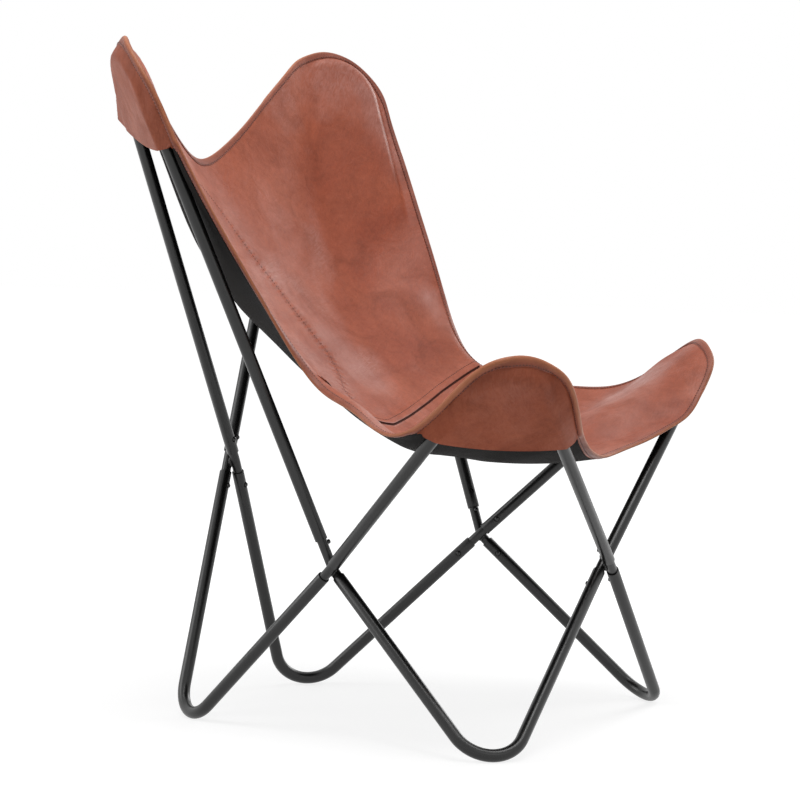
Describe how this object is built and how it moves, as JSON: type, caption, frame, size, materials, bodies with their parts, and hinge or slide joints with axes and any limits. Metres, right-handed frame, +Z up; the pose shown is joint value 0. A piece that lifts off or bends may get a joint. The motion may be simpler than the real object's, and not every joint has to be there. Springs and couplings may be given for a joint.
{
  "type": "butterfly sling chair",
  "caption": "Butterfly lounge chair: a leather sling hung by pockets on a folded-looking frame of black bent tubes that plug into welded X connectors.",
  "frame": {"origin": "on the floor, under the middle of the whole chair", "axes": "+Z up, -Y towards the front where the sitter faces, +X towards the sitter's left"},
  "size_m": [0.7528, 0.6564, 0.8788],
  "materials": {
    "powder_coated_steel": "satin black powder coat",
    "blackened_steel": "gloss black coating over steel",
    "spring_steel": "plain spring steel",
    "tan_leather": "reddish-brown pull-up leather with a soft sheen",
    "edge_leather": "folded and rubbed leather edge",
    "black_canvas": "matt woven canvas"
  },
  "bodies": {
    "root": {"back_foot_tube_right": "powder_coated_steel", "back_foot_tube_left": "powder_coated_steel", "front_foot_tube_right": "powder_coated_steel", "front_foot_tube_left": "powder_coated_steel", "back_tip_tube_right": "powder_coated_steel", "back_tip_tube_left": "powder_coated_steel", "front_tip_tube_right": "powder_coated_steel", "front_tip_tube_left": "powder_coated_steel", "x_connector_right": "powder_coated_steel", "x_connector_left": "powder_coated_steel", "x_connector_back": "powder_coated_steel", "x_connector_front": "powder_coated_steel", "leaf_spring_back_foot_right_at_right": "spring_steel", "leaf_spring_back_foot_right_at_back": "spring_steel", "leaf_spring_back_foot_left_at_left": "spring_steel", "leaf_spring_back_foot_left_at_back": "spring_steel", "leaf_spring_front_foot_right_at_right": "spring_steel", "leaf_spring_front_foot_right_at_front": "spring_steel", "leaf_spring_front_foot_left_at_left": "spring_steel", "leaf_spring_front_foot_left_at_front": "spring_steel", "leaf_spring_back_tip_right_at_right": "spring_steel", "leaf_spring_back_tip_right_at_back": "spring_steel", "leaf_spring_back_tip_left_at_left": "spring_steel", "leaf_spring_back_tip_left_at_back": "spring_steel", "leaf_spring_front_tip_right_at_right": "spring_steel", "leaf_spring_front_tip_right_at_front": "spring_steel", "leaf_spring_front_tip_left_at_left": "spring_steel", "leaf_spring_front_tip_left_at_front": "spring_steel", "back_and_seat_leather": "tan_leather", "front_seat_leather": "tan_leather", "canvas_lining": "black_canvas", "back_pocket_right": "tan_leather", "front_pocket_right": "tan_leather", "back_pocket_left": "tan_leather", "front_pocket_left": "tan_leather", "edge_binding": "edge_leather"},
    "button_back_foot_right_at_right": {"button_back_foot_right_at_right": "blackened_steel"},
    "button_back_foot_right_at_back": {"button_back_foot_right_at_back": "blackened_steel"},
    "button_back_foot_left_at_left": {"button_back_foot_left_at_left": "blackened_steel"},
    "button_back_foot_left_at_back": {"button_back_foot_left_at_back": "blackened_steel"},
    "button_front_foot_right_at_right": {"button_front_foot_right_at_right": "blackened_steel"},
    "button_front_foot_right_at_front": {"button_front_foot_right_at_front": "blackened_steel"},
    "button_front_foot_left_at_left": {"button_front_foot_left_at_left": "blackened_steel"},
    "button_front_foot_left_at_front": {"button_front_foot_left_at_front": "blackened_steel"},
    "button_back_tip_right_at_right": {"button_back_tip_right_at_right": "blackened_steel"},
    "button_back_tip_right_at_back": {"button_back_tip_right_at_back": "blackened_steel"},
    "button_back_tip_left_at_left": {"button_back_tip_left_at_left": "blackened_steel"},
    "button_back_tip_left_at_back": {"button_back_tip_left_at_back": "blackened_steel"},
    "button_front_tip_right_at_right": {"button_front_tip_right_at_right": "blackened_steel"},
    "button_front_tip_right_at_front": {"button_front_tip_right_at_front": "blackened_steel"},
    "button_front_tip_left_at_left": {"button_front_tip_left_at_left": "blackened_steel"},
    "button_front_tip_left_at_front": {"button_front_tip_left_at_front": "blackened_steel"}
  },
  "joints": [
    {"name": "press_back_foot_right_at_right", "type": "slide", "parent": "root", "child": "button_back_foot_right_at_right", "axis": [-0.9586, 0.2846, -0.0046], "range_m": [0, 0.00415], "stiffness_N_per_m": 1500},
    {"name": "press_back_foot_right_at_back", "type": "slide", "parent": "root", "child": "button_back_foot_right_at_back", "axis": [-0.0166, 0.9993, -0.0341], "range_m": [0, 0.00415], "stiffness_N_per_m": 1500},
    {"name": "press_back_foot_left_at_left", "type": "slide", "parent": "root", "child": "button_back_foot_left_at_left", "axis": [0.9647, 0.2627, 0.0175], "range_m": [0, 0.00415], "stiffness_N_per_m": 1500},
    {"name": "press_back_foot_left_at_back", "type": "slide", "parent": "root", "child": "button_back_foot_left_at_back", "axis": [0.0033, 1, -0.0068], "range_m": [0, 0.00415], "stiffness_N_per_m": 1500},
    {"name": "press_front_foot_right_at_right", "type": "slide", "parent": "root", "child": "button_front_foot_right_at_right", "axis": [-0.9625, 0.271, -0.0088], "range_m": [0, 0.00415], "stiffness_N_per_m": 1500},
    {"name": "press_front_foot_right_at_front", "type": "slide", "parent": "root", "child": "button_front_foot_right_at_front", "axis": [-0.0296, -0.9993, -0.024], "range_m": [0, 0.00415], "stiffness_N_per_m": 1500},
    {"name": "press_front_foot_left_at_left", "type": "slide", "parent": "root", "child": "button_front_foot_left_at_left", "axis": [0.9683, 0.248, -0.031], "range_m": [0, 0.00415], "stiffness_N_per_m": 1500},
    {"name": "press_front_foot_left_at_front", "type": "slide", "parent": "root", "child": "button_front_foot_left_at_front", "axis": [0.0538, -0.9976, -0.0429], "range_m": [0, 0.00415], "stiffness_N_per_m": 1500},
    {"name": "press_back_tip_right_at_right", "type": "slide", "parent": "root", "child": "button_back_tip_right_at_right", "axis": [-0.69, 0.6304, -0.3557], "range_m": [0, 0.00415], "stiffness_N_per_m": 1500},
    {"name": "press_back_tip_right_at_back", "type": "slide", "parent": "root", "child": "button_back_tip_right_at_back", "axis": [0.0317, 0.9977, -0.0602], "range_m": [0, 0.00415], "stiffness_N_per_m": 1500},
    {"name": "press_back_tip_left_at_left", "type": "slide", "parent": "root", "child": "button_back_tip_left_at_left", "axis": [0.692, 0.6331, -0.3469], "range_m": [0, 0.00415], "stiffness_N_per_m": 1500},
    {"name": "press_back_tip_left_at_back", "type": "slide", "parent": "root", "child": "button_back_tip_left_at_back", "axis": [-0.0248, 0.9986, -0.0471], "range_m": [0, 0.00415], "stiffness_N_per_m": 1500},
    {"name": "press_front_tip_right_at_right", "type": "slide", "parent": "root", "child": "button_front_tip_right_at_right", "axis": [-0.9285, 0.3618, -0.0832], "range_m": [0, 0.00415], "stiffness_N_per_m": 1500},
    {"name": "press_front_tip_right_at_front", "type": "slide", "parent": "root", "child": "button_front_tip_right_at_front", "axis": [0.0282, -0.9994, -0.0223], "range_m": [0, 0.00415], "stiffness_N_per_m": 1500},
    {"name": "press_front_tip_left_at_left", "type": "slide", "parent": "root", "child": "button_front_tip_left_at_left", "axis": [0.9204, 0.3782, -0.0993], "range_m": [0, 0.00415], "stiffness_N_per_m": 1500},
    {"name": "press_front_tip_left_at_front", "type": "slide", "parent": "root", "child": "button_front_tip_left_at_front", "axis": [-0.047, -0.9982, -0.0371], "range_m": [0, 0.00415], "stiffness_N_per_m": 1500}
  ]
}
